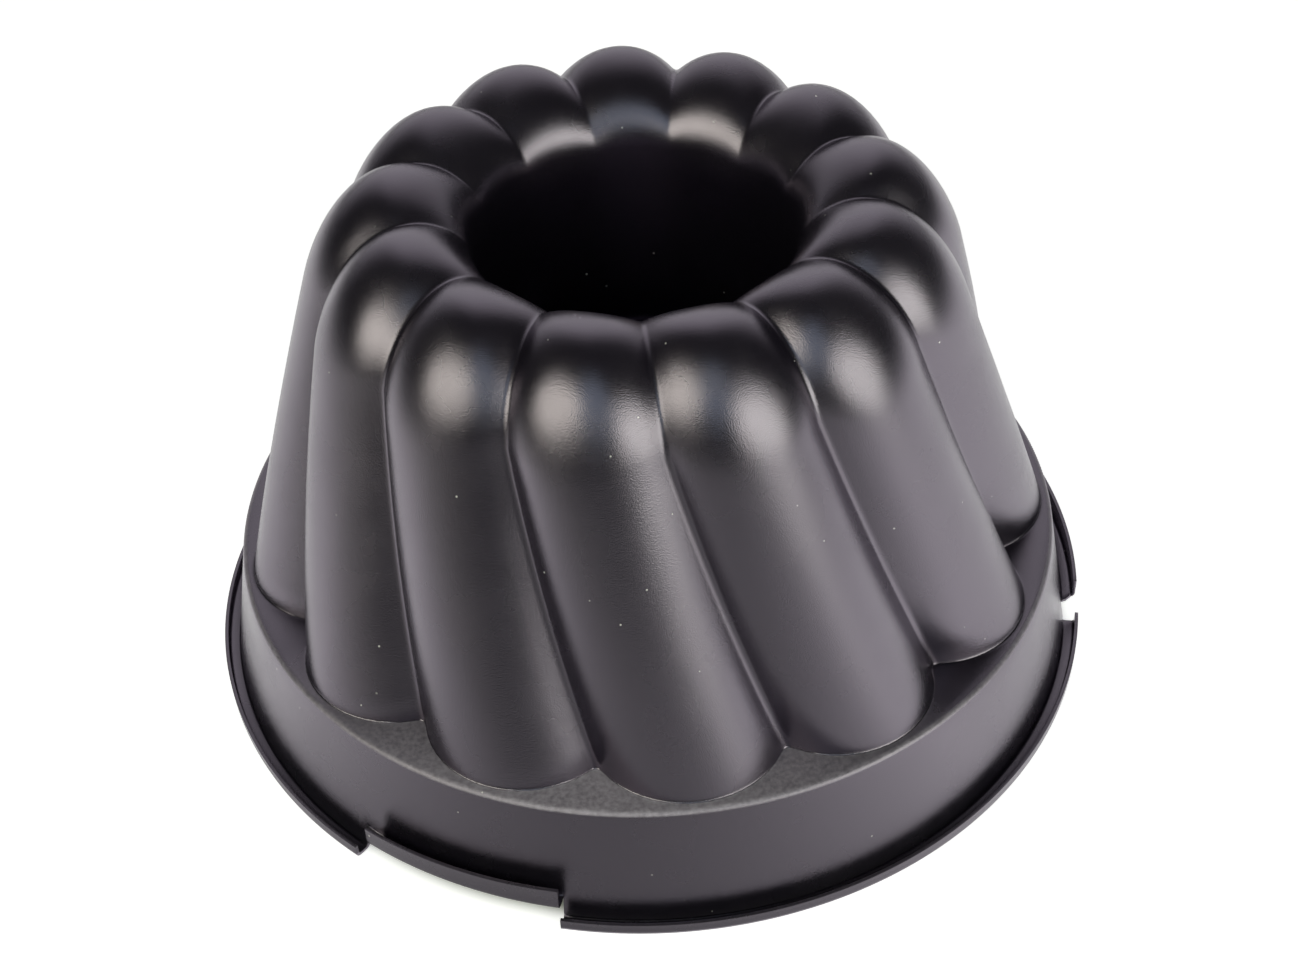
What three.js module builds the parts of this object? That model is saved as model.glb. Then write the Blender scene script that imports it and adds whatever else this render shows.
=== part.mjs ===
// Kugelhopf mould: a swirled, fluted ring-cake mould of coated sheet steel, standing mouth down on its rim.
// Millimetres, +Z up. The origin is on the axis, in the plane that the rim stands on, and -Y is the front.
// Two pressed pieces: the fluted shell with its ledge, band and rolled rim, and the conical chimney tube.
// A folded ring seam down in the crown's hole locks the tube to the shell.
import * as THREE from 'three';
import { mergeVertices } from 'three/addons/utils/BufferGeometryUtils.js';

const SHEET = 0.6; // gauge of the sheet
const SEAM_GAP = 0.3; // room between the folded layers of the seam

// Flutes: thirteen lobes that swirl up the wall and then run straight over the crown.
const FLUTES = 13;
const FIRST_VALLEY = THREE.MathUtils.degToRad(-36.5); // foot of one valley, turned from the front towards +X
const WALL_TWIST = THREE.MathUtils.degToRad(15.1); // turn of a valley from the ledge to the top of the wall
const CROWN_TWIST = THREE.MathUtils.degToRad(5.4); // what is left of the turn, over the crown
const LOBE_ARC = 0.757; // half a lobe's width over the radius of its round back
const VALLEY_FILLET = 0.08; // share of half a lobe that rounds out the valley
const CROWN_FULLNESS = 0.55; // 0.55 rounds the crown like an ellipse

// Radius and height of the two lines that rule the flutes, from the crown's top to the foot on the ledge.
const LEDGE_HEIGHT = 22.9;
const VALLEY = { top: [36.7, 88.6], knee: [51.0, 76.4], foot: [64.4, LEDGE_HEIGHT] };
const CREST = { top: [39.7, 92.5], knee: [56.5, 75.6], foot: [71.8, LEDGE_HEIGHT] };
const FOOT_FILLET = 0.7; // round between a flute's foot and the ledge

// Ledge, flared band and rolled rim.
const LEDGE_RADIUS = 73.4;
const LEDGE_ROUND = 0.9;
const RIM_RADIUS = 80;
const ROLL_RADIUS = 1.65; // outside of the rolled edge
const LIP_HEIGHT = 2.8; // free edge of the roll above the plane that the rim stands on

// Gates: three stretches where the rim is cut back and rolled higher, each one flute wide.
const GATES = 3;
const GATE_START = THREE.MathUtils.degToRad(-39.9);
const GATE_RISE = 4.4;
const GATE_LIP_LOW = 8.5; // the gate's lip climbs along the gate
const GATE_LIP_HIGH = 9.2;
const GATE_START_SLIT = THREE.MathUtils.degToRad(1.7);
const GATE_END_SLIT = THREE.MathUtils.degToRad(0.15);

// Throat of the crown's hole, the collar below it, and the chimney tube.
const THROAT_LEAN = THREE.MathUtils.degToRad(9); // from upright
const COLLAR_RADIUS = 22;
const COLLAR_TOP = 50;
const SEAM_HEIGHT = 46.1; // upper face of the collar's flange
const SEAM_BEND = 0.5;
const SEAM_INNER_RADIUS = 19.5;
const TUBE_TOP_RADIUS = 21.9;
const TUBE_MOUTH_RADIUS = 15;
const TUBE_MOUTH_HEIGHT = 4.6;
const TUBE_ROLL_RADIUS = 1.3;
const TUBE_ROLL_TURN = 200; // degrees that the mouth's edge is rolled round

// Steps of the facets.
const LOBE_STEPS = [-1, -0.92, -0.7, -0.43, -0.15, 0.15, 0.43, 0.7, 0.92];
const ARCH_STEPS = 4;
const WALL_STEPS = 3;
const ROLL_STEPS = 3; // an odd count leaves a level facet under the rim
const BEND_STEPS = 1;
const FOLD_STEPS = 3;
const TUBE_ROLL_STEPS = 4;
const TUBE_SIDES = 39;
const COLUMNS = FLUTES * LOBE_STEPS.length;
const MERGE_DISTANCE = 1e-4;

const PITCH = (2 * Math.PI) / FLUTES;
const COLUMN_TURN = (2 * Math.PI) / COLUMNS;
const ROLL_INSIDE = ROLL_RADIUS - SHEET;
const ROLL_CENTRE_HEIGHT = ROLL_RADIUS * Math.cos(Math.PI / (2 * ROLL_STEPS));

// A point at a radius, a turn from the front towards +X, and a height.
function polar(radius, turn, height) {
  return new THREE.Vector3(radius * Math.sin(turn), -radius * Math.cos(turn), height);
}

// Height of a lobe's section, 0 in the valley and 1 on the crest: a round back with filleted valleys.
function lobeLift(across) {
  const base = Math.sqrt(1 - LOBE_ARC ** 2);
  const back = (x) => (Math.sqrt(1 - (LOBE_ARC * x) ** 2) - base) / (1 - base);
  const tangent = 1 - VALLEY_FILLET;
  const slope = (-(LOBE_ARC ** 2) * tangent) / Math.sqrt(1 - (LOBE_ARC * tangent) ** 2) / (1 - base);
  const floor = back(tangent) + (slope * VALLEY_FILLET) / 2;
  const x = Math.abs(across);
  const inFillet = (1 - x) / VALLEY_FILLET;
  const rise = x > tangent ? floor - (slope * VALLEY_FILLET * inFillet ** 2) / 2 : back(x);
  return (rise - floor) / (1 - floor);
}

// One ruling line of the flutes, from the collar up the throat, over the crown and down to the foot's fillet.
function flutingLine(line) {
  const top = new THREE.Vector2(...line.top);
  const knee = new THREE.Vector2(...line.knee);
  const foot = new THREE.Vector2(...line.foot);
  const collar = new THREE.Vector2(COLLAR_RADIUS, COLLAR_TOP);
  const innerCorner = new THREE.Vector2(COLLAR_RADIUS + (top.y - COLLAR_TOP) * Math.tan(THROAT_LEAN), top.y);
  const bendShare = (top.x - innerCorner.x) / innerCorner.distanceTo(collar);
  const throatTop = innerCorner.clone().lerp(collar, bendShare);
  const outerCorner = foot.clone().lerp(knee, (top.y - foot.y) / (knee.y - foot.y));
  const wallEnd = foot.clone().lerp(knee, FOOT_FILLET / (knee.y - foot.y));
  const towards = (from, corner) => from.clone().lerp(corner, CROWN_FULLNESS);
  const arch = (from, corner, to) =>
    new THREE.CubicBezierCurve(from, towards(from, corner), towards(to, corner), to).getPoints(ARCH_STEPS);
  const wall = new THREE.LineCurve(knee, wallEnd);
  return [
    collar,
    ...arch(throatTop, innerCorner, top),
    ...arch(top, outerCorner, knee).slice(1),
    ...wall.getPoints(WALL_STEPS).slice(1),
    new THREE.Vector2(foot.x + FOOT_FILLET, LEDGE_HEIGHT),
  ];
}

// How far the flutes have turned back at each step of a ruling line.
function twistAt(step) {
  const crownSteps = 2 * ARCH_STEPS + 1;
  if (step <= crownSteps) return -WALL_TWIST - CROWN_TWIST * (1 - step / crownSteps);
  return -WALL_TWIST * Math.max(0, 1 - (step - crownSteps) / WALL_STEPS);
}

// Rings of the fluted part, all outside points of the sheet.
function flutedRings() {
  const valley = flutingLine(VALLEY);
  const crest = flutingLine(CREST);
  return valley.map((low, step) => {
    const ring = [];
    for (let flute = 0; flute < FLUTES; flute += 1) {
      for (const across of LOBE_STEPS) {
        const place = low.clone().lerp(crest[step], lobeLift(across));
        const turn = FIRST_VALLEY + PITCH * (flute + (across + 1) / 2) + twistAt(step);
        ring.push(polar(place.x, turn, place.y));
      }
    }
    return ring;
  });
}

// A plain ring on the columns that the rim is divided into.
function plainRing(radius, height, first = GATE_START) {
  return Array.from({ length: COLUMNS }, (_, column) => polar(radius, first + column * COLUMN_TURN, height));
}

// Radius of the band's outside at a height: it flares from the ledge to the roll.
function bandRadius(height) {
  const rollStart = RIM_RADIUS - ROLL_RADIUS - ROLL_INSIDE;
  const flare = (LEDGE_HEIGHT - height) / (LEDGE_HEIGHT - ROLL_CENTRE_HEIGHT);
  return THREE.MathUtils.lerp(LEDGE_RADIUS, rollStart, flare);
}

// Rings of the sheet down to where the gates part from the rim: seam flange, collar, flutes, ledge, band.
function upperRings() {
  const flangeFirst = FIRST_VALLEY - WALL_TWIST - CROWN_TWIST;
  const bendFoot = SEAM_HEIGHT + SEAM_BEND;
  const rings = [
    plainRing(SEAM_INNER_RADIUS, SEAM_HEIGHT, flangeFirst),
    plainRing(COLLAR_RADIUS - SEAM_BEND, SEAM_HEIGHT, flangeFirst),
    plainRing(COLLAR_RADIUS, bendFoot, flangeFirst),
    ...flutedRings(),
  ];
  for (let step = 0; step <= BEND_STEPS; step += 1) {
    const lean = (step / BEND_STEPS) * (Math.PI / 2);
    const radius = LEDGE_RADIUS - LEDGE_ROUND * (1 - Math.sin(lean));
    rings.push(plainRing(radius, LEDGE_HEIGHT - LEDGE_ROUND * (1 - Math.cos(lean))));
  }
  const gateParting = GATE_RISE + ROLL_CENTRE_HEIGHT;
  rings.push(plainRing(bandRadius(gateParting), gateParting));
  return rings;
}

// The rolled edge at one column: around the bottom and up to the free edge.
function rollColumn(turn, rise, lip) {
  const centreHeight = rise + ROLL_CENTRE_HEIGHT;
  const centreRadius = bandRadius(centreHeight) + ROLL_INSIDE;
  const column = rise > 0 ? [] : [polar(bandRadius(centreHeight), turn, centreHeight)];
  for (let step = 1; step <= ROLL_STEPS; step += 1) {
    const lean = (step / ROLL_STEPS) * Math.PI;
    const radius = centreRadius - ROLL_INSIDE * Math.cos(lean);
    column.push(polar(radius, turn, centreHeight - ROLL_INSIDE * Math.sin(lean)));
  }
  column.push(polar(centreRadius + ROLL_INSIDE, turn, lip));
  return column;
}

// Skin of the sheet's other face: every point moved in by the sheet's gauge along its normal.
function otherSkin(rings, wraps) {
  const columns = rings[0].length;
  const normals = rings.map((ring) => ring.map(() => new THREE.Vector3()));
  const strips = wraps ? columns : columns - 1;
  for (let row = 0; row + 1 < rings.length; row += 1) {
    for (let column = 0; column < strips; column += 1) {
      const next = (column + 1) % columns;
      const along = rings[row + 1][next].clone().sub(rings[row][column]);
      const across = rings[row + 1][column].clone().sub(rings[row][next]);
      const normal = across.cross(along).normalize();
      for (const sums of [normals[row], normals[row + 1]]) {
        sums[column].add(normal);
        sums[next].add(normal);
      }
    }
  }
  const moved = (point, normal) => point.clone().addScaledVector(normal.normalize(), -SHEET);
  return rings.map((ring, row) => ring.map((point, column) => moved(point, normals[row][column])));
}

// Two triangles of a four-sided facet whose corners run anticlockwise seen from outside.
function addFacet(corners, a, b, c, d) {
  for (const p of [a, b, c, a, c, d]) corners.push(p.x, p.y, p.z);
}

// Both faces of a patch of sheet.
function addSheet(corners, outside, inside, wraps) {
  const columns = outside[0].length;
  const strips = wraps ? columns : columns - 1;
  for (let row = 0; row + 1 < outside.length; row += 1) {
    for (let column = 0; column < strips; column += 1) {
      const next = (column + 1) % columns;
      const [upper, lower] = [outside[row], outside[row + 1]];
      const [upperInside, lowerInside] = [inside[row], inside[row + 1]];
      addFacet(corners, upper[column], lower[column], lower[next], upper[next]);
      addFacet(corners, upperInside[next], lowerInside[next], lowerInside[column], upperInside[column]);
    }
  }
}

// The cut edge of the sheet along a line of outside points.
function addEdge(corners, outside, inside) {
  for (let step = 0; step + 1 < outside.length; step += 1) {
    addFacet(corners, outside[step], inside[step], inside[step + 1], outside[step + 1]);
  }
}

// The pressed shell: fluted crown and wall, ledge, band, rolled rim and raised gates, all one sheet.
function shellGeometry() {
  const corners = [];
  const upper = upperRings();
  const upperInside = otherSkin(upper, true);
  addSheet(corners, upper, upperInside, true);
  const round = (ring) => [...ring, ring[0]].reverse();
  addEdge(corners, round(upper[0]), round(upperInside[0]));

  const parting = upper.length - 1;
  const gateColumns = LOBE_STEPS.length;
  const rimColumns = COLUMNS / GATES - gateColumns;
  let first = 0;
  for (let stretch = 0; stretch < 2 * GATES; stretch += 1) {
    const isGate = stretch % 2 === 0;
    const count = isGate ? gateColumns : rimColumns;
    const columns = [];
    for (let step = 0; step <= count; step += 1) {
      let turn = GATE_START + (first + step) * COLUMN_TURN;
      if (isGate && step === 0) turn += GATE_START_SLIT;
      if (isGate && step === count) turn -= GATE_END_SLIT;
      const gateLip = THREE.MathUtils.lerp(GATE_LIP_LOW, GATE_LIP_HIGH, step / count);
      columns.push(isGate ? rollColumn(turn, GATE_RISE, gateLip) : rollColumn(turn, 0, LIP_HEIGHT));
    }
    const at = (step) => (first + step) % COLUMNS;
    const shared = columns.map((_, step) => upper[parting][at(step)]);
    const lower = [shared, ...columns[0].map((_, row) => columns.map((column) => column[row]))];
    const lowerInside = otherSkin(lower, false);
    lowerInside[0] = columns.map((_, step) => upperInside[parting][at(step)]);
    addSheet(corners, lower, lowerInside, false);
    const side = (skin, step) => skin.map((ring) => ring[step]);
    addEdge(corners, side(lower, 0), side(lowerInside, 0));
    addEdge(corners, side(lower, count).reverse(), side(lowerInside, count).reverse());
    addEdge(corners, lower[lower.length - 1], lowerInside[lower.length - 1]);
    first += count;
  }
  const soup = new THREE.BufferGeometry();
  soup.setAttribute('position', new THREE.Float32BufferAttribute(corners, 3));
  const solid = mergeVertices(soup, MERGE_DISTANCE);
  solid.computeVertexNormals();
  return solid;
}

// Points of an arc of a section, in radius and height, from one angle to another.
function sectionArc(centre, radius, from, to, steps) {
  return Array.from({ length: steps + 1 }, (_, step) => {
    const angle = THREE.MathUtils.degToRad(THREE.MathUtils.lerp(from, to, step / steps));
    return new THREE.Vector2(centre.x + radius * Math.cos(angle), centre.y + radius * Math.sin(angle));
  });
}

// Closed section of a strip of sheet around its middle line.
function sheetSection(middle) {
  const left = [];
  const right = [];
  middle.forEach((point, step) => {
    const before = middle[Math.max(step - 1, 0)];
    const after = middle[Math.min(step + 1, middle.length - 1)];
    const intoBend = point === before ? after.clone().sub(point) : point.clone().sub(before);
    const outOfBend = point === after ? intoBend.clone() : after.clone().sub(point);
    const along = intoBend.normalize().clone().add(outOfBend.normalize()).normalize();
    const reach = SHEET / 2 / along.dot(intoBend);
    left.push(new THREE.Vector2(point.x - along.y * reach, point.y + along.x * reach));
    right.push(new THREE.Vector2(point.x + along.y * reach, point.y - along.x * reach));
  });
  return [left[0].clone(), ...right, ...left.reverse()];
}

// The chimney tube: a cone that narrows to a rolled mouth, with its wide end folded over the collar's flange.
function tubeGeometry() {
  const rollCentre = new THREE.Vector2(TUBE_MOUTH_RADIUS - TUBE_ROLL_RADIUS, TUBE_MOUTH_HEIGHT);
  const layer = SHEET + SEAM_GAP;
  const flangeMiddle = SEAM_HEIGHT - SHEET / 2;
  const foldCentre = new THREE.Vector2(SEAM_INNER_RADIUS, flangeMiddle);
  const bendCentre = new THREE.Vector2(TUBE_TOP_RADIUS - layer, flangeMiddle - 2 * layer);
  const middle = [
    ...sectionArc(rollCentre, TUBE_ROLL_RADIUS, -TUBE_ROLL_TURN, 0, TUBE_ROLL_STEPS),
    ...sectionArc(bendCentre, layer, 0, 90, BEND_STEPS),
    ...sectionArc(foldCentre, layer, 270, 90, FOLD_STEPS),
    new THREE.Vector2(COLLAR_RADIUS - SHEET - SEAM_BEND, flangeMiddle + layer),
  ];
  const tube = new THREE.LatheGeometry(sheetSection(middle), TUBE_SIDES);
  return tube.rotateX(Math.PI / 2);
}

function coatedSteel(colour, roughness) {
  return new THREE.MeshStandardMaterial({ color: colour, roughness, metalness: 0 });
}

const shell = new THREE.Mesh(shellGeometry(), coatedSteel(0x1c1b1d, 0.38));
shell.name = 'fluted_shell';

const tube = new THREE.Mesh(tubeGeometry(), coatedSteel(0x161617, 0.45));
tube.name = 'chimney_tube';

const mould = new THREE.Group();
mould.add(shell, tube);

export default mould;
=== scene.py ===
"""A kugelhopf mould of coated sheet steel, standing mouth down on its rolled rim."""

import math

import bmesh
import bpy
from mathutils import Matrix, Vector


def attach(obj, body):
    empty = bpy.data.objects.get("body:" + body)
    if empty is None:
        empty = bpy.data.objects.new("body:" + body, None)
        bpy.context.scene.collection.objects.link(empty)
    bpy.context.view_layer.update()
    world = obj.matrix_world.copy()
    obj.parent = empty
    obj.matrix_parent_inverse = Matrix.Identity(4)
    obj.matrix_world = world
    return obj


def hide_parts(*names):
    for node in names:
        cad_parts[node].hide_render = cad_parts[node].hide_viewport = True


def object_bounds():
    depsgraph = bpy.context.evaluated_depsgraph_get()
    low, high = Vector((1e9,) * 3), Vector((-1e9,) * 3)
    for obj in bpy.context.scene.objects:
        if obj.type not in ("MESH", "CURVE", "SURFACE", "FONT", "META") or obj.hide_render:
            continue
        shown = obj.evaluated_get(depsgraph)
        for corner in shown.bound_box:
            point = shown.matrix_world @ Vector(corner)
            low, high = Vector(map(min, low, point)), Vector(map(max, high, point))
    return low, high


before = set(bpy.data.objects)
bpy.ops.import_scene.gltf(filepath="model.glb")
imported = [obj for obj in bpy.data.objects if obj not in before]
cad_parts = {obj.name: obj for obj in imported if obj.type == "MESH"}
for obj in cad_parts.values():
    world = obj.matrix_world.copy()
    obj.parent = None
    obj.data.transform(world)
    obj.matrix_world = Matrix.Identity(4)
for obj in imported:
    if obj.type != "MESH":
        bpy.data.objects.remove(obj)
cad_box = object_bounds()


# The flutes: thirteen lobes pressed into one sheet of steel, 0.6 mm thick, by a swirled die.
# Each runs from the ledge up the wall with a twist, rounds over the crown and dips into the hole.
# One flute is swept from its valley line, raised to its crest line, swirled and copied round the axis.
SHEET_GAUGE = 0.0006
FLUTES = 13
FLUTE_PITCH = 2 * math.pi / FLUTES
FIRST_VALLEY = math.radians(-36.5)
WALL_TWIST = math.radians(15.1)
CROWN_TWIST = math.radians(5.4)
LOBE_ARC = 0.71
VALLEY_FILLET = 0.07
CROWN_FULLNESS = 0.55
LEDGE_HEIGHT = 0.0229
COLLAR_RADIUS = 0.022
COLLAR_TOP = 0.05
THROAT_LEAN = math.radians(9)
FOOT_FILLET = 0.0006
FOOT_MARGIN = 0.0001
VALLEY_TOP = (0.0367, 0.0895)
VALLEY_KNEE = (0.051, 0.0768)
VALLEY_FOOT = (0.0644, LEDGE_HEIGHT)
CREST_TOP = (0.0402, 0.0929)
CREST_KNEE = (0.0558, 0.0751)
CREST_FOOT = (0.0718, LEDGE_HEIGHT)
THROAT_ROWS = 6
ARCH_ROWS = 14
WALL_ROWS = 14
FOOT_ROWS = 4
FILLET_LANES = 3
BACK_LANES = 18
FLUTE_LANES = BACK_LANES + 2 * FILLET_LANES
WELD = 0.00002


def curve_points(start, start_handle, end_handle, end, rows):
    """Points of a smooth bend between two places of a section, the first one left out."""
    places = [Vector(place) for place in (start, start_handle, end_handle, end)]
    points = []
    for row in range(1, rows + 1):
        done = row / rows
        left = 1 - done
        shares = (left ** 3, 3 * done * left ** 2, 3 * done ** 2 * left, done ** 3)
        points.append(sum((place * share for place, share in zip(places, shares)), Vector((0, 0))))
    return points


def fluting_line(top, knee, foot):
    """Radius and height down one ruling line: throat, crown, wall, foot fillet and a margin on the ledge."""
    collar = Vector((COLLAR_RADIUS, COLLAR_TOP))
    top, knee, foot = Vector(top), Vector(knee), Vector(foot)
    inner_corner = Vector((collar.x + (top.y - collar.y) * math.tan(THROAT_LEAN), top.y))
    throat_top = inner_corner.lerp(collar, (top.x - inner_corner.x) / (inner_corner - collar).length)
    outer_corner = foot.lerp(knee, (top.y - foot.y) / (knee.y - foot.y))
    wall_end = foot.lerp(knee, FOOT_FILLET / (knee.y - foot.y))
    fillet_end = foot + Vector((FOOT_FILLET, 0))
    line = [collar.lerp(throat_top, row / THROAT_ROWS) for row in range(THROAT_ROWS + 1)]
    for start, corner, end in ((throat_top, inner_corner, top), (top, outer_corner, knee)):
        handles = start.lerp(corner, CROWN_FULLNESS), end.lerp(corner, CROWN_FULLNESS)
        line += curve_points(start, *handles, end, ARCH_ROWS)
    line += [knee.lerp(wall_end, row / WALL_ROWS) for row in range(1, WALL_ROWS + 1)]
    line += curve_points(wall_end, foot, foot, fillet_end, FOOT_ROWS)
    return line + [fillet_end + Vector((FOOT_MARGIN, 0))]


def draw_line(name, section, turn):
    """A line of edges through a section's points, drawn point by point at one turn from the front."""
    places = []
    for radius, height in section:
        places.append(Vector((radius * math.sin(turn), -radius * math.cos(turn), height)))
    bpy.ops.object.select_all(action="DESELECT")
    bpy.ops.mesh.primitive_plane_add(size=SHEET_GAUGE)
    line = bpy.context.active_object
    line.name = line.data.name = name
    bpy.ops.object.mode_set(mode="EDIT")
    bpy.ops.mesh.merge(type="CENTER")
    bpy.ops.transform.translate(value=places[0])
    for before, after in zip(places, places[1:]):
        bpy.ops.mesh.extrude_region_move(TRANSFORM_OT_translate={"value": after - before})
    return line


def select_points(piece, belongs):
    """In edit mode, selects the points that the test takes, with the edges and faces between them."""
    bpy.ops.mesh.select_all(action="DESELECT")
    sheet = bmesh.from_edit_mesh(piece.data)
    for point in sheet.verts:
        if belongs(point.co):
            point.select_set(True)
    sheet.select_flush(True)
    bmesh.update_edit_mesh(piece.data)


def sweep(angle, steps, copies=False):
    """Sweeps or copies what is selected round the axis, anticlockwise seen from above."""
    bpy.ops.mesh.spin(steps=steps, angle=-angle, dupli=copies, center=(0, 0, 0), axis=(0, 0, 1))


def sweep_all(angle, steps, copies=False):
    """Sweeps or copies the whole of the edited piece round the axis."""
    bpy.ops.mesh.select_all(action="SELECT")
    sweep(angle, steps, copies)


def weld_all():
    """Merges the points of the edited piece that lie on each other."""
    bpy.ops.mesh.select_all(action="SELECT")
    bpy.ops.mesh.remove_doubles(threshold=WELD)


def turn_selected(angle):
    """Turns what is selected round the axis, anticlockwise seen from above."""
    bpy.ops.transform.rotate(value=-angle, orient_axis="Z", center_override=(0, 0, 0))


def lobe_lift(across):
    """Height of a lobe's section, 0 in the valley and 1 on the crest: a round back with filleted valleys."""
    base = math.sqrt(1 - LOBE_ARC ** 2)
    tangent = 1 - VALLEY_FILLET
    tangent_height = math.sqrt(1 - (LOBE_ARC * tangent) ** 2)
    slope = -(LOBE_ARC ** 2) * tangent / tangent_height / (1 - base)
    floor = (tangent_height - base) / (1 - base) + slope * VALLEY_FILLET / 2
    aside = min(abs(across), 1)
    back = (math.sqrt(1 - (LOBE_ARC * aside) ** 2) - base) / (1 - base)
    fillet = floor - slope * VALLEY_FILLET * ((1 - aside) / VALLEY_FILLET) ** 2 / 2
    return ((fillet if aside > tangent else back) - floor) / (1 - floor)


def swirl_at(row):
    """How far a row of the flute is turned back from the foot's place."""
    crown_rows = THROAT_ROWS + 2 * ARCH_ROWS
    if row <= crown_rows:
        return -WALL_TWIST - CROWN_TWIST * (1 - row / crown_rows)
    return -WALL_TWIST * max(0, 1 - (row - crown_rows) / WALL_ROWS)


def swept_flute(name, line):
    """One flute's strip with its lanes weighted by the lobe's section, and its rows swirled."""
    strip = draw_line(name, line, FIRST_VALLEY)
    bpy.ops.mesh.select_all(action="SELECT")
    fillet_turn = FLUTE_PITCH * VALLEY_FILLET / 2
    sweep(fillet_turn, FILLET_LANES)
    sweep(FLUTE_PITCH - 2 * fillet_turn, BACK_LANES)
    sweep(fillet_turn, FILLET_LANES)
    bpy.ops.object.mode_set(mode="OBJECT")
    lobe = strip.vertex_groups.new(name="lobe")
    for point in strip.data.vertices:
        turn = math.atan2(point.co.x, -point.co.y) - FIRST_VALLEY
        lobe.add([point.index], lobe_lift(2 * turn / FLUTE_PITCH - 1), "REPLACE")
    bpy.ops.object.mode_set(mode="EDIT")
    for row, (radius, height) in enumerate(line):
        if swirl_at(row) < 0:
            select_points(strip, lambda p: math.hypot(math.hypot(p.x, p.y) - radius, p.z - height) < WELD)
            turn_selected(swirl_at(row))
    bpy.ops.object.mode_set(mode="OBJECT")
    return strip


crest_strip = swept_flute("crest_strip", fluting_line(CREST_TOP, CREST_KNEE, CREST_FOOT))
shell = swept_flute("pressed_shell", fluting_line(VALLEY_TOP, VALLEY_KNEE, VALLEY_FOOT))
crest_strip.select_set(True)
bpy.ops.object.join_shapes()
raised = shell.data.shape_keys.key_blocks[-1]
raised.vertex_group = "lobe"
raised.value = 1
shell.active_shape_key_index = 1
bpy.ops.object.shape_key_remove(all=True, apply_mix=True)
bpy.data.objects.remove(crest_strip)
bpy.ops.object.mode_set(mode="EDIT")
sweep_all(2 * math.pi - FLUTE_PITCH, FLUTES - 1, copies=True)
weld_all()


# The collar and its flange: the edge of the crown's hole, pressed down into the mould and turned in.
# The chimney tube is folded round this flange, so the two sheets lock in a flat ring seam.
SEAM_HEIGHT = 0.0461
SEAM_BEND = 0.0005
SEAM_INNER_RADIUS = 0.0195
BEND_ROWS = 4


def bend_offsets(radius, rows):
    """Steps of a quarter bend from straight down to straight in, as a radius change and a drop for each."""
    leans = [math.pi / 2 * row / rows for row in range(rows + 1)]
    places = [Vector((radius * math.cos(lean), -radius * math.sin(lean))) for lean in leans]
    return [after - before for before, after in zip(places, places[1:])]


def extrude_ring(radius, radius_change, drop):
    """Extrudes the selected ring of edges to a new radius and height, and gives the new radius."""
    bpy.ops.mesh.extrude_edges_move(TRANSFORM_OT_translate={"value": (0, 0, drop)})
    share = (radius + radius_change) / radius
    bpy.ops.transform.resize(value=(share, share, 1), center_override=(0, 0, 0))
    return radius + radius_change


select_points(shell, lambda p: math.hypot(math.hypot(p.x, p.y) - COLLAR_RADIUS, p.z - COLLAR_TOP) < WELD)
collar_radius = extrude_ring(COLLAR_RADIUS, 0, SEAM_HEIGHT + SEAM_BEND - COLLAR_TOP)
for radius_change, drop in bend_offsets(SEAM_BEND, BEND_ROWS):
    collar_radius = extrude_ring(collar_radius, radius_change, drop)
extrude_ring(collar_radius, SEAM_INNER_RADIUS - collar_radius, 0)
bpy.ops.object.mode_set(mode="OBJECT")


# The band: below the flutes the sheet steps out to a narrow ledge, bends down with a small radius and flares.
# The bend and the band are swept round in one go; the ledge itself is bridged when the sheet is joined.
LEDGE_RADIUS = 0.0734
LEDGE_ROUND = 0.0008
RIM_RADIUS = 0.080
ROLL_RADIUS = 0.00165
ROLL_INSIDE = ROLL_RADIUS - SHEET_GAUGE
ROLL_HEIGHT = ROLL_RADIUS
GATE_START = math.radians(-39.9)
GATE_RISE = 0.0044
PARTING_HEIGHT = GATE_RISE + ROLL_HEIGHT
BAND_ROWS = 6
COLUMNS = FLUTES * FLUTE_LANES


def band_radius(height):
    """Radius of the band's outside at a height: it flares from the ledge to the rolled rim."""
    flare = (LEDGE_HEIGHT - height) / (LEDGE_HEIGHT - ROLL_HEIGHT)
    return LEDGE_RADIUS + (RIM_RADIUS - ROLL_RADIUS - ROLL_INSIDE - LEDGE_RADIUS) * flare


bend_top = Vector((LEDGE_RADIUS - LEDGE_ROUND, LEDGE_HEIGHT))
bend_corner = Vector((LEDGE_RADIUS, LEDGE_HEIGHT))
bend_foot = Vector((band_radius(LEDGE_HEIGHT - LEDGE_ROUND), LEDGE_HEIGHT - LEDGE_ROUND))
bend_handles = bend_top.lerp(bend_corner, CROWN_FULLNESS), bend_foot.lerp(bend_corner, CROWN_FULLNESS)
band_line = [bend_top]
band_line += curve_points(bend_top, *bend_handles, bend_foot, BEND_ROWS)
for row in range(1, BAND_ROWS + 1):
    height = bend_foot.y + (PARTING_HEIGHT - bend_foot.y) * row / BAND_ROWS
    band_line.append(Vector((band_radius(height), height)))
band = draw_line("band", band_line, GATE_START)
sweep_all(2 * math.pi, COLUMNS)
weld_all()
bpy.ops.object.mode_set(mode="OBJECT")


# The rolled rim: the sheet's edge curled outwards and up into an open roll that the mould stands on.
# It runs in three long stretches, each cut off square where a gate begins.
GATES = 3
GATE_COLUMNS = FLUTE_LANES
RIM_COLUMNS = COLUMNS // GATES - GATE_COLUMNS
COLUMN_TURN = 2 * math.pi / COLUMNS
LIP_HEIGHT = 0.0028
LIP_MARGIN = 0.00025
ROLL_ROWS = 12
ROLL_SQUARENESS = 5


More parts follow.
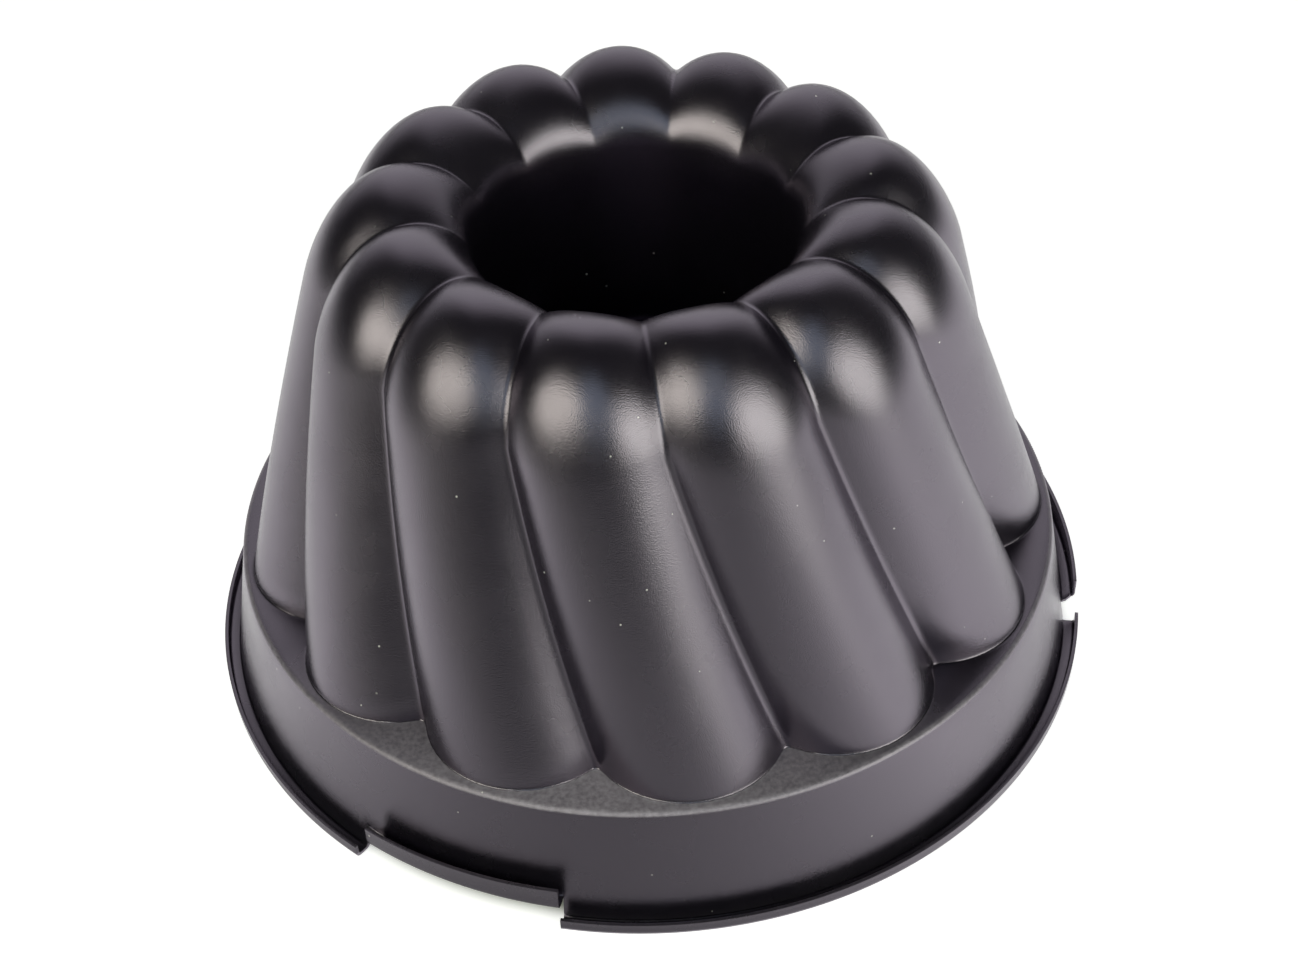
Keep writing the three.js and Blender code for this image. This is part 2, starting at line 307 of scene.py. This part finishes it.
def roll_line(rise, lip):
    """Section of a rolled edge, from the band's end down, round the bottom and up to the free edge."""
    centre = Vector((band_radius(rise + ROLL_HEIGHT) + ROLL_INSIDE, rise + ROLL_HEIGHT))
    line = []
    for row in range(ROLL_ROWS + 1):
        lean = math.pi * row / ROLL_ROWS
        across = math.copysign(abs(math.cos(lean)) ** (2 / ROLL_SQUARENESS), math.cos(lean))
        line.append(centre - ROLL_INSIDE * Vector((across, math.sin(lean) ** (2 / ROLL_SQUARENESS))))
    return line + [Vector((line[-1].x, lip - LIP_MARGIN)), Vector((line[-1].x, lip))]


parting = Vector((band_radius(PARTING_HEIGHT), PARTING_HEIGHT))
rim = draw_line("rim", [parting] + roll_line(0, LIP_HEIGHT), GATE_START + GATE_COLUMNS * COLUMN_TURN)
sweep_all(RIM_COLUMNS * COLUMN_TURN, RIM_COLUMNS)
sweep_all(2 * math.pi * (GATES - 1) / GATES, GATES - 1, copies=True)
bpy.ops.object.mode_set(mode="OBJECT")


# The gates: three places where the rim is cut back and rolled higher, with a lip that climbs to one side.
# They let the mould lock into a matching ring. Each one is as wide as a flute.
# A slit parts each end from the rim and opens from the band outwards, so that the start is cut at a slant.
GATE_START_SLIT = math.radians(1.7)
GATE_END_SLIT = math.radians(0.15)
GATE_LIP_LOW = 0.0085
GATE_LIP_HIGH = 0.0092
SLIT_RINGS = 6
LIP_CLIMB = (GATE_LIP_HIGH - GATE_LIP_LOW) / GATE_COLUMNS

gate_line = roll_line(GATE_RISE, GATE_LIP_LOW)


def gate_column(place):
    """Number of the gate's column that a point lies on."""
    return round((math.atan2(place.x, -place.y) - GATE_START) / COLUMN_TURN)


def gate_ring(place):
    """Number of the ring that a point of the gate lies on, from 0 on the band to the last one on the lip."""
    reach = (math.hypot(place.x, place.y) - parting.x - WELD) / (gate_line[-1].x - parting.x)
    return math.ceil(reach * SLIT_RINGS)


gate = draw_line("gate", gate_line, GATE_START)
sweep_all(GATE_COLUMNS * COLUMN_TURN, GATE_COLUMNS)
for column in range(1, GATE_COLUMNS + 1):
    select_points(gate, lambda p: p.z > GATE_LIP_LOW - LIP_MARGIN - WELD and gate_column(p) >= column)
    bpy.ops.transform.translate(value=(0, 0, LIP_CLIMB))
for ring in range(1, SLIT_RINGS + 1):
    for column in range(GATE_COLUMNS, -1, -1):
        slit = GATE_START_SLIT - (GATE_START_SLIT + GATE_END_SLIT) * column / GATE_COLUMNS
        select_points(gate, lambda p: gate_ring(p) == ring and gate_column(p) == column)
        turn_selected(slit * ring / SLIT_RINGS)
sweep_all(2 * math.pi * (GATES - 1) / GATES, GATES - 1, copies=True)
bpy.ops.object.mode_set(mode="OBJECT")


# The joined sheet: flutes, band, rim and gates are one pressing, so they are welded along their edges here.
# The ledge bridges the feet of the flutes to the band's bend.
# The sheet then gets its marks of wear, with painted light on the front of the ledge and painted shade at its
# sides, then its gauge and slightly rounded cut edges.
LEDGE_CUTS = 5
# The pale rub peaks at the front of the ledge and fades towards its sides: painted light at the front and
# painted shade at the sides.
RUB_AND_LIGHT_MIDDLE = math.radians(-9)
RUB_AND_LIGHT_REACH = math.radians(52)
BEND_RUB = 0.6
LIP_RUB = 0.08
SHELTER_TOP = 0.086
SHELTER_FADE = 0.008
EDGE_ROUND = 0.0001
EDGE_SEGMENTS = 2
EDGE_ANGLE = math.radians(50)
SMOOTH_ANGLE = math.radians(40)

bpy.ops.object.select_all(action="DESELECT")
for part in (band, rim, gate, shell):
    part.select_set(True)
bpy.context.view_layer.objects.active = shell
bpy.ops.object.join()
bpy.ops.object.mode_set(mode="EDIT")
weld_all()
bpy.ops.mesh.select_all(action="DESELECT")
sheet = bmesh.from_edit_mesh(shell.data)
for edge in sheet.edges:
    if edge.is_boundary and all(abs(point.co.z - LEDGE_HEIGHT) < WELD for point in edge.verts):
        edge.select_set(True)
bmesh.update_edit_mesh(shell.data)
bpy.ops.mesh.bridge_edge_loops(number_cuts=LEDGE_CUTS, interpolation="LINEAR")
bpy.ops.mesh.select_all(action="SELECT")
bpy.ops.mesh.normals_make_consistent(inside=False)
bpy.ops.object.mode_set(mode="OBJECT")


def rubbed_and_lit(place):
    """How much pale rub a point gets: wear along the lips and the ledge's bend, plus painted light at the
    ledge's front that fades to painted shade at its sides.
    """
    aside = (math.atan2(place.x, -place.y) - RUB_AND_LIGHT_MIDDLE) / RUB_AND_LIGHT_REACH
    if abs(place.z - LEDGE_HEIGHT) < WELD:
        return max(0, 1 - aside ** 2)
    if bend_foot.y + WELD < place.z < bend_top.y:
        return max(BEND_RUB, 1 - aside ** 2)
    on_lip = math.hypot(place.x, place.y) > band_radius(place.z) + ROLL_RADIUS
    roll_middle = ROLL_HEIGHT if place.z < GATE_RISE else PARTING_HEIGHT
    return LIP_RUB if on_lip and place.z > roll_middle + LIP_MARGIN else 0


def sheltered(place):
    """How far a point lies down in the hole, where the coating keeps its gloss: 0 on the crown, 1 below."""
    inside = math.hypot(place.x, place.y) < VALLEY_TOP[0]
    return min(1, max(0, (SHELTER_TOP - place.z) / SHELTER_FADE)) if inside else 0


# The pale rub's share at each point: partly wear, partly painted light on the ledge's front.
wear_and_light = shell.data.attributes.new("worn_and_lit", "FLOAT", "POINT")
gloss = shell.data.attributes.new("sheltered", "FLOAT", "POINT")
for point in shell.data.vertices:
    wear_and_light.data[point.index].value = rubbed_and_lit(point.co)
    gloss.data[point.index].value = sheltered(point.co)

bpy.ops.object.modifier_add(type="SOLIDIFY")
thickness = shell.modifiers["Solidify"]
thickness.thickness = SHEET_GAUGE
thickness.offset = -1
thickness.use_even_offset = True
bpy.ops.object.modifier_apply(modifier="Solidify")
bpy.ops.object.modifier_add(type="BEVEL")
cut_edges = shell.modifiers["Bevel"]
cut_edges.width = EDGE_ROUND
cut_edges.segments = EDGE_SEGMENTS
cut_edges.limit_method = "ANGLE"
cut_edges.angle_limit = EDGE_ANGLE
bpy.ops.object.modifier_apply(modifier="Bevel")
bpy.ops.object.shade_smooth_by_angle(angle=SMOOTH_ANGLE)


# The coating: a near-black non-stick enamel with a soft metallic sheen, sprayed on the sheet and baked.
# It has a fine orange peel, hazy patches from handling, pale specks, and a rubbed ledge and edges; the rub's
# paleness on the front of the ledge is partly painted light.
# Each pressing gets its own coat; on the tube, which has no marks of wear, the two attributes read as 0.
COATING_COLOUR = (0.0066, 0.0055, 0.0092, 1)
COATING_TINT = (0.93, 0.815, 1, 1)
COATING_IOR = 2.5
COATING_ROUGHNESS = 0.23
HAZE_ROUGHNESS = 0.29
HAZE_SIZE = 0.012
HAZE_DETAIL = 4
HAZE_SPAN = (0.4, 0.65)
SHELTERED_ROUGHNESS = 0.12
RUBBED_AND_LIT_COLOUR = (0.37, 0.335, 0.4, 1)
RUBBED_ROUGHNESS = 0.66
RUB_GRAIN = 0.0007
RUB_DETAIL = 3
RUB_SPAN = (0.3, 0.65)
RUB_SHARES = (0.55, 1)
SPECK_COLOUR = (0.8, 0.78, 0.76, 1)
SPECK_SPACING = 0.004
SPECK_RADIUS = 0.0002
SPECK_CORE = 0.7
SPECK_SHARE = 0.5
PEEL_SIZE = 0.00022
PEEL_DETAIL = 2
PEEL_DEPTH = 0.000036


def feed(tree, source, socket):
    """Gives a socket its source: another node's output, or a fixed number, place or colour."""
    if isinstance(source, bpy.types.NodeSocket):
        tree.links.new(source, socket)
    else:
        socket.default_value = source


def math_value(tree, operation, *sources):
    """The result of a calculation on numbers."""
    node = tree.nodes.new("ShaderNodeMath")
    node.operation = operation
    for source, socket in zip(sources, node.inputs):
        feed(tree, source, socket)
    return node.outputs["Value"]


def map_range(tree, value, span, results=(0, 1), smooth=False):
    """A value's span mapped to a span of results, clamped at both ends."""
    node = tree.nodes.new("ShaderNodeMapRange")
    node.interpolation_type = "SMOOTHSTEP" if smooth else "LINEAR"
    node.inputs["From Min"].default_value = span[0]
    node.inputs["From Max"].default_value = span[1]
    node.inputs["To Min"].default_value = results[0]
    node.inputs["To Max"].default_value = results[1]
    tree.links.new(value, node.inputs["Value"])
    return node.outputs["Result"]


def object_place(tree):
    """The place of the shaded point on its piece."""
    return tree.nodes.new("ShaderNodeTexCoord").outputs["Object"]


def noise(tree, place, size, detail):
    """A noise on the piece, with features of about that size."""
    texture = tree.nodes.new("ShaderNodeTexNoise")
    texture.inputs["Scale"].default_value = 1 / size
    texture.inputs["Detail"].default_value = detail
    tree.links.new(place, texture.inputs["Vector"])
    return texture.outputs["Fac"]


def sheet_mark(tree, name):
    """A mark that the sheet's points carry as an attribute: the rub with its painted light, or the shelter in
    the hole.
    """
    mark = tree.nodes.new("ShaderNodeAttribute")
    mark.attribute_name = name
    return mark.outputs["Fac"]


def pale_specks(tree, place):
    """A scatter of small dots, 1 inside a dot and 0 elsewhere, of which only a share is shown."""
    scatter = tree.nodes.new("ShaderNodeTexVoronoi")
    scatter.inputs["Scale"].default_value = 1 / SPECK_SPACING
    tree.links.new(place, scatter.inputs["Vector"])
    lot = tree.nodes.new("ShaderNodeSeparateColor")
    tree.links.new(scatter.outputs["Color"], lot.inputs["Color"])
    dot = SPECK_RADIUS / SPECK_SPACING
    near = map_range(tree, scatter.outputs["Distance"], (dot * SPECK_CORE, dot), (1, 0))
    shown = map_range(tree, lot.outputs["Red"], (1 - SPECK_SHARE, 1 - SPECK_SHARE / 2))
    return math_value(tree, "MULTIPLY", near, shown)


def blend(tree, kind, share, first, second):
    """A mix of two colours or values by a share; either may be a fixed one."""
    node = tree.nodes.new("ShaderNodeMix")
    node.data_type = kind
    tree.links.new(share, node.inputs["Factor"])
    socket_type = "RGBA" if kind == "RGBA" else "VALUE"
    first_socket, second_socket = [socket for socket in node.inputs if socket.type == socket_type][-2:]
    feed(tree, first, first_socket)
    feed(tree, second, second_socket)
    return [socket for socket in node.outputs if socket.type == socket_type][0]


def coating(name):
    """The baked coating as a node material on object coordinates and the marks of wear, whose pale rub is
    partly painted light.
    """
    material = bpy.data.materials.new(name)
    material.use_nodes = True
    tree = material.node_tree
    shader = tree.nodes["Principled BSDF"]
    shader.inputs["IOR"].default_value = COATING_IOR
    shader.inputs["Specular Tint"].default_value = COATING_TINT
    place = object_place(tree)
    grain = map_range(tree, noise(tree, place, RUB_GRAIN, RUB_DETAIL), RUB_SPAN, RUB_SHARES)
    # The pale rub is partly wear and partly painted light on the front of the ledge.
    rub_and_light = math_value(tree, "MULTIPLY", sheet_mark(tree, "worn_and_lit"), grain)
    enamel_and_light = blend(tree, "RGBA", rub_and_light, COATING_COLOUR, RUBBED_AND_LIT_COLOUR)
    colour = blend(tree, "RGBA", pale_specks(tree, place), enamel_and_light, SPECK_COLOUR)
    tree.links.new(colour, shader.inputs["Base Color"])
    patches = noise(tree, place, HAZE_SIZE, HAZE_DETAIL)
    haze = map_range(tree, patches, HAZE_SPAN, (COATING_ROUGHNESS, HAZE_ROUGHNESS))
    kept = blend(tree, "FLOAT", sheet_mark(tree, "sheltered"), haze, SHELTERED_ROUGHNESS)
    roughness = blend(tree, "FLOAT", rub_and_light, kept, RUBBED_ROUGHNESS)
    tree.links.new(roughness, shader.inputs["Roughness"])
    peel = tree.nodes.new("ShaderNodeBump")
    peel.inputs["Distance"].default_value = PEEL_DEPTH
    tree.links.new(noise(tree, place, PEEL_SIZE, PEEL_DETAIL), peel.inputs["Height"])
    tree.links.new(peel.outputs["Normal"], shader.inputs["Normal"])
    return material


shell.data.materials.append(coating("shell_coating"))
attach(shell, "root")
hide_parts("fluted_shell")


# The chimney tube: a cone of the same coated sheet in the middle of the mould, open at both ends.
# Its wide end is folded over the collar's flange, and its narrow mouth is rolled in.
SEAM_GAP = 0.0003
TUBE_TOP_RADIUS = 0.0219
TUBE_MOUTH_RADIUS = 0.015
TUBE_MOUTH_HEIGHT = 0.0046
TUBE_ROLL_RADIUS = 0.0013
TUBE_ROLL_TURN = 200
TUBE_ROLL_ROWS = 14
TUBE_FOLD_ROWS = 8
TUBE_WALL_ROWS = 8
TUBE_COLUMNS = 120
FOLD_LAYER = SHEET_GAUGE + SEAM_GAP


def section_arc(centre, radius, start, end, rows):
    """Points of an arc of a section from one angle to another, in degrees."""
    angles = [math.radians(start + (end - start) * row / rows) for row in range(rows + 1)]
    return [Vector(centre) + radius * Vector((math.cos(angle), math.sin(angle))) for angle in angles]


flange_middle = SEAM_HEIGHT - SHEET_GAUGE / 2
mouth_centre = (TUBE_MOUTH_RADIUS - TUBE_ROLL_RADIUS, TUBE_MOUTH_HEIGHT)
mouth_roll = section_arc(mouth_centre, TUBE_ROLL_RADIUS, -TUBE_ROLL_TURN, 0, TUBE_ROLL_ROWS)
top_bend_centre = (TUBE_TOP_RADIUS - FOLD_LAYER, flange_middle - 2 * FOLD_LAYER)
top_bend = section_arc(top_bend_centre, FOLD_LAYER, 0, 90, BEND_ROWS)
tube_wall = [mouth_roll[-1].lerp(top_bend[0], row / TUBE_WALL_ROWS) for row in range(1, TUBE_WALL_ROWS)]
fold = section_arc((SEAM_INNER_RADIUS, flange_middle), FOLD_LAYER, 270, 90, TUBE_FOLD_ROWS)
fold_end = Vector((COLLAR_RADIUS - SHEET_GAUGE - SEAM_BEND, flange_middle + FOLD_LAYER))
tube = draw_line("chimney_cone", mouth_roll + tube_wall + top_bend + fold + [fold_end], 0)
sweep_all(2 * math.pi, TUBE_COLUMNS)
weld_all()
bpy.ops.mesh.normals_make_consistent(inside=False)
bpy.ops.object.mode_set(mode="OBJECT")
bpy.ops.object.modifier_add(type="SOLIDIFY")
tube.modifiers["Solidify"].thickness = SHEET_GAUGE
tube.modifiers["Solidify"].offset = 0
bpy.ops.object.modifier_apply(modifier="Solidify")
bpy.ops.object.shade_smooth_by_angle(angle=SMOOTH_ANGLE)
tube.data.materials.append(coating("tube_coating"))
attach(tube, "root")
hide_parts("chimney_tube")


# The table top: a white board far wider than the view, on which the mould stands and casts its shadow.
# It glows for the camera and in reflections, where the glow fades with distance, and not under the mould.
FLOOR_SIZE = 30
FLOOR_COLOUR = (0.9, 0.9, 0.9, 1)
FLOOR_ROUGHNESS = 0.9
WHITE = (1, 1, 1, 1)
FLOOR_GLOW = 0.8
FLOOR_MIDDLE = (0.1, 0.25, 0)
FLOOR_FADE = (0.3, 0.75)
FLOOR_DARK = (0.0745, 0.0785)


def place_value(tree, operation, *sources):
    """A node for a calculation on places or directions."""
    node = tree.nodes.new("ShaderNodeVectorMath")
    node.operation = operation
    for source, socket in zip(sources, node.inputs):
        feed(tree, source, socket)
    return node


bpy.ops.mesh.primitive_plane_add(size=FLOOR_SIZE)
floor = bpy.context.active_object
floor.name = "table_top"
white_table = bpy.data.materials.new("white_table")
white_table.use_nodes = True
tree = white_table.node_tree
paint = tree.nodes["Principled BSDF"]
paint.inputs["Base Color"].default_value = FLOOR_COLOUR
paint.inputs["Roughness"].default_value = FLOOR_ROUGHNESS
paint.inputs["Specular IOR Level"].default_value = 0
paint.inputs["Emission Color"].default_value = WHITE
spot = object_place(tree)
from_axis = place_value(tree, "LENGTH", spot).outputs["Value"]
from_middle = place_value(tree, "DISTANCE", spot, FLOOR_MIDDLE).outputs["Value"]
strength = map_range(tree, from_axis, FLOOR_DARK, (0, FLOOR_GLOW), smooth=True)
fading = map_range(tree, from_middle, FLOOR_FADE, (1, 0), smooth=True)
ray = tree.nodes.new("ShaderNodeLightPath")
mirrored = math_value(tree, "MULTIPLY", ray.outputs["Is Glossy Ray"], fading)
seen = math_value(tree, "MAXIMUM", ray.outputs["Is Camera Ray"], mirrored)
seen_through = math_value(tree, "MAXIMUM", seen, ray.outputs["Is Transmission Ray"])
glow = math_value(tree, "MULTIPLY", seen_through, strength)
tree.links.new(glow, paint.inputs["Emission Strength"])
floor.data.materials.append(white_table)


# The shade card: a dark sheet lying on the table in front of the mould, a wedge with soft sides, that paints
# the shade of the table's unlit front.
# Only reflections show it, so it darkens the front of the lower walls and nothing else.
CARD_SIZE = 6
CARD_HEIGHT = 0.001
CARD_TURN = math.radians(-11)
CARD_EDGE = 0.48
CARD_COVER = 0.75
TABLE_SHADE_COLOUR = (0.2, 0.2, 0.215, 1)

bpy.ops.mesh.primitive_plane_add(size=CARD_SIZE, location=(0, -CARD_SIZE / 2, CARD_HEIGHT))
shade_card = bpy.context.active_object
shade_card.name = "table_shade_card"
bpy.ops.object.transform_apply(location=True, rotation=True, scale=True)
shade_card.visible_camera = False
shade_card.visible_diffuse = False
shade_card.visible_shadow = False
shade_card.visible_transmission = False
shade_card.visible_volume_scatter = False
table_shade = bpy.data.materials.new("painted_table_shade")
table_shade.use_nodes = True
tree = table_shade.node_tree
shade_paint = tree.nodes["Principled BSDF"]
# A dark colour that paints the shade on the table's unlit front, which only reflections show.
shade_paint.inputs["Base Color"].default_value = TABLE_SHADE_COLOUR
shade_paint.inputs["Specular IOR Level"].default_value = 0
heading = place_value(tree, "NORMALIZE", object_place(tree)).outputs["Vector"]
card_front = (math.sin(CARD_TURN), -math.cos(CARD_TURN), 0)
ahead = place_value(tree, "DOT_PRODUCT", heading, card_front).outputs["Value"]
cover = map_range(tree, ahead, (CARD_EDGE, 1), (0, CARD_COVER))
tree.links.new(cover, shade_paint.inputs["Alpha"])
shade_card.data.materials.append(table_shade)


# The lamps: two large oval soft lamps in front, to the left and right, with a dim panel between them.
# Each is aimed at the crown from the same distance, and the camera doesn't see it.
LAMP_DISTANCE = 0.8


def lamp(name, turn, lift, tilt, width, height, radiance, colour):
    """An oval soft lamp aimed at the crown, placed by its turn from the front and its lift, in degrees."""
    turn, lift = math.radians(turn), math.radians(lift)
    away = Vector((math.sin(turn) * math.cos(lift), -math.cos(turn) * math.cos(lift), math.sin(lift)))
    aim = Vector((0, 0, cad_box[1].z))
    bpy.ops.object.light_add(type="AREA", location=aim + away * LAMP_DISTANCE)
    light = bpy.context.active_object
    light.name = name
    facing = away.to_track_quat("Z", "Y").to_matrix() @ Matrix.Rotation(math.radians(tilt), 3, "Z")
    light.rotation_euler = facing.to_euler()
    light.visible_camera = False
    light.data.shape = "ELLIPSE"
    light.data.size = width
    light.data.size_y = height
    area = math.pi * width * height / 4
    light.data.energy = radiance * math.pi * area
    light.data.color = colour


lamp(
    "left_lamp", turn=-47, lift=26, tilt=18,
    width=0.84, height=0.43, radiance=2.95, colour=(0.965, 1, 0.78),
)
lamp(
    "right_lamp", turn=46, lift=13, tilt=-25,
    width=0.81, height=0.48, radiance=3.15, colour=(0.94, 1, 0.835),
)
lamp(
    "fill_panel", turn=0, lift=36, tilt=0,
    width=0.52, height=0.52, radiance=0.64, colour=(0.75, 0.95, 1),
)


# The room: dim all round, with a pale backdrop behind the table that fades out to both sides.
# It is the light of the world, worked out from each direction's place beside and behind the mould.
ROOM_LIGHT = 0.028
BACKDROP_LIGHT = 0.8
BACKDROP_NARROWING = 0.42
BACKDROP_REACH = 0.95

room = bpy.data.worlds.new("room")
bpy.context.scene.world = room
room.use_nodes = True
tree = room.node_tree
direction = tree.nodes.new("ShaderNodeSeparateXYZ")
tree.links.new(tree.nodes.new("ShaderNodeTexCoord").outputs["Generated"], direction.inputs["Vector"])
aside = math_value(tree, "ABSOLUTE", direction.outputs["X"])
behind = math_value(tree, "MULTIPLY_ADD", aside, -BACKDROP_NARROWING, direction.outputs["Y"])
backdrop = map_range(tree, behind, (0, BACKDROP_REACH), (ROOM_LIGHT, BACKDROP_LIGHT), smooth=True)
sky = tree.nodes["Background"]
sky.inputs["Color"].default_value = WHITE
tree.links.new(backdrop, sky.inputs["Strength"])


# The camera: in front of the mould, about as high as it is far, and rolled a little about its line of sight.
# Its lens and place were fitted to the circles of the rim and the ledge and to the valleys' feet.
LENS = 58.104
SENSOR_WIDTH = 36
CAMERA_PLACE = Vector((0, -0.28502, 0.28087))
CAMERA_AIM = Vector((0.00075, 0, 0.02603))
CAMERA_ROLL = math.radians(-2.37)

bpy.ops.object.camera_add(location=CAMERA_PLACE)
camera = bpy.context.active_object
camera.data.lens = LENS
camera.data.sensor_width = SENSOR_WIDTH
look = (CAMERA_AIM - CAMERA_PLACE).to_track_quat("-Z", "Y").to_matrix() @ Matrix.Rotation(CAMERA_ROLL, 3, "Z")
camera.rotation_euler = look.to_euler()
bpy.context.scene.camera = camera
bpy.context.scene.view_settings.view_transform = "Standard"
